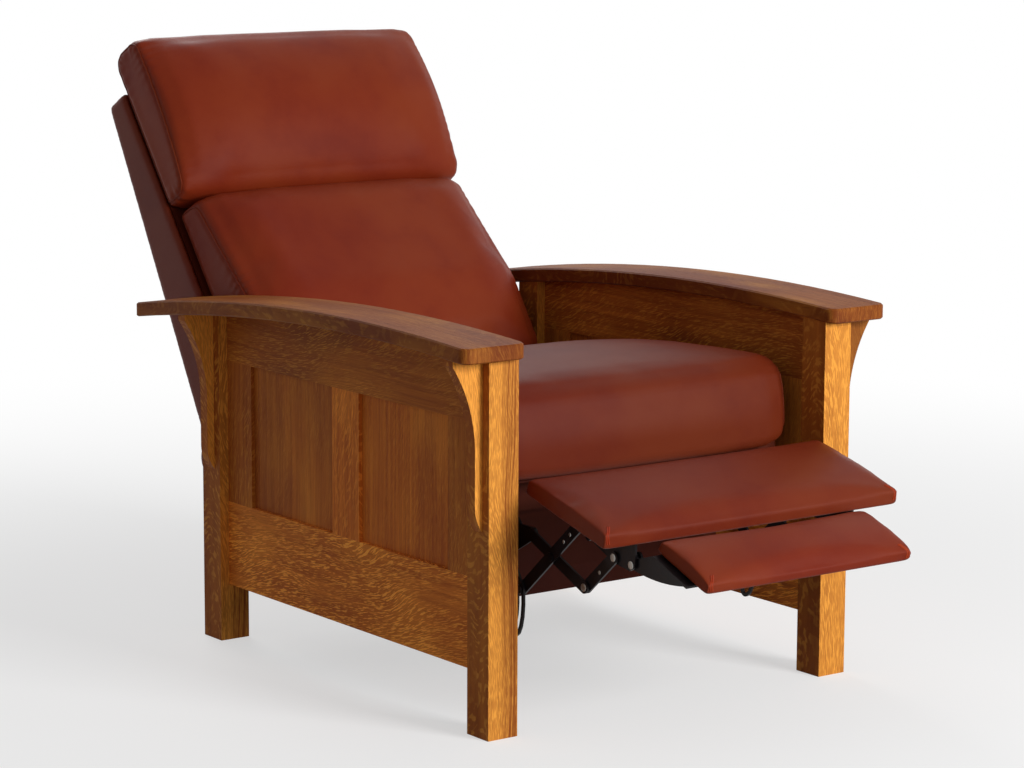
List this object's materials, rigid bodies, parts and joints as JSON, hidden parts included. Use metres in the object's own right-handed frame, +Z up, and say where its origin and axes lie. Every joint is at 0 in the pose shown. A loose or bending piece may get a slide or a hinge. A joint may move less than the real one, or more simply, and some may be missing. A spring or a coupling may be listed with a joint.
{
  "type": "mission reclining armchair",
  "caption": "Mission style oak reclining armchair with bowed arms, panelled sides, leather cushions, a reclining back and a scissor footrest with a folding lower board.",
  "frame": {"origin": "middle of the whole chair's bounding box, on the floor", "axes": "+Z up, the sitter faces -Y, +X to the sitter's left"},
  "size_m": [0.874, 1.6262, 1.0457],
  "materials": {
    "oak": "fumed quartersawn oak, satin lacquer",
    "frame_wood": "plain hardwood and plywood, unfinished",
    "leather": "brown top-grain leather, soft sheen",
    "burlap": "plain woven jute",
    "black_steel": "black enamelled steel",
    "zinc_steel": "plated steel"
  },
  "bodies": {
    "base": {"left_front_post": "oak", "left_front_panel": "oak", "left_front_corbel": "oak", "left_rear_post": "oak", "left_rear_panel": "oak", "left_rear_corbel": "oak", "right_front_post": "oak", "right_front_panel": "oak", "right_front_corbel": "oak", "right_rear_post": "oak", "right_rear_panel": "oak", "right_rear_corbel": "oak", "left_rear_stile": "oak", "left_middle_stile": "oak", "left_front_stile": "oak", "left_top_rail": "oak", "left_bottom_rail": "oak", "left_arm": "oak", "right_rear_stile": "oak", "right_middle_stile": "oak", "right_front_stile": "oak", "right_top_rail": "oak", "right_bottom_rail": "oak", "right_arm": "oak", "front_base_rail": "oak", "rear_base_rail": "oak", "front_skirt": "leather", "left_seat_side_rail": "frame_wood", "right_seat_side_rail": "frame_wood", "seat_front_rail": "leather", "seat_rear_rail": "frame_wood", "seat_nose_rail": "leather", "left_mechanism_plate": "black_steel", "right_mechanism_plate": "black_steel", "guide_plates": "black_steel", "hinge_plates": "black_steel", "base_screws": "zinc_steel", "seat_springs": "zinc_steel", "seat_deck_cloth": "burlap", "seat_cushion": "leather"},
    "upper_links": {"upper_links": "black_steel"},
    "lower_links": {"lower_links": "black_steel"},
    "riser_links": {"riser_links": "black_steel"},
    "footboard": {"footrest_brackets": "black_steel", "footrest_board": "frame_wood", "footrest_pad": "leather"},
    "flipper": {"flipper_arms": "black_steel", "flipper_board": "frame_wood", "flipper_pad": "leather"},
    "drive_links": {"drive_links": "black_steel"},
    "back": {"back_brackets": "black_steel", "left_back_stile": "frame_wood", "right_back_stile": "frame_wood", "back_top_rail": "frame_wood", "back_foot_rail": "frame_wood", "back_deck": "leather", "back_cover": "leather", "lower_pillow": "leather", "head_pillow": "leather"}
  },
  "joints": [
    {"name": "footrest", "type": "hinge", "parent": "base", "child": "upper_links", "pos_m": [0, -0.4049, 0.303], "axis": [1, 0, 0], "range_deg": [0, 74.8]},
    {"name": "scissor_cross", "type": "hinge", "parent": "upper_links", "child": "lower_links", "pos_m": [0, -0.46451, 0.27708], "axis": [1, 0, 0], "range_deg": [-111.8, 0]},
    {"name": "riser_pivot", "type": "hinge", "parent": "upper_links", "child": "riser_links", "pos_m": [0, -0.54521, 0.24199], "axis": [1, 0, 0], "range_deg": [-111.8, 0]},
    {"name": "board_pivot", "type": "hinge", "parent": "lower_links", "child": "footboard", "pos_m": [0, -0.53202, 0.3366], "axis": [1, 0, 0], "range_deg": [0, 111.8]},
    {"name": "flipper_pivot", "type": "hinge", "parent": "footboard", "child": "flipper", "pos_m": [0, -0.6514, 0.296], "axis": [1, 0, 0], "range_deg": [0, 173.7]},
    {"name": "drive_pivot", "type": "hinge", "parent": "lower_links", "child": "drive_links", "pos_m": [0, -0.53638, 0.32069], "axis": [1, 0, 0], "range_deg": [0, 134.58]},
    {"name": "back_recline", "type": "hinge", "parent": "base", "child": "back", "pos_m": [0, 0.2991, 0.405], "axis": [1, 0, 0], "range_deg": [0, 15]}
  ],
  "couplings": [
    {"joint": "scissor_cross", "follows": "footrest", "ratio": -1.4947},
    {"joint": "riser_pivot", "follows": "footrest", "ratio": -1.4947},
    {"joint": "board_pivot", "follows": "footrest", "ratio": 1.4947},
    {"joint": "flipper_pivot", "follows": "footrest", "ratio": 2.3222},
    {"joint": "drive_pivot", "follows": "footrest", "ratio": 1.7992}
  ]
}
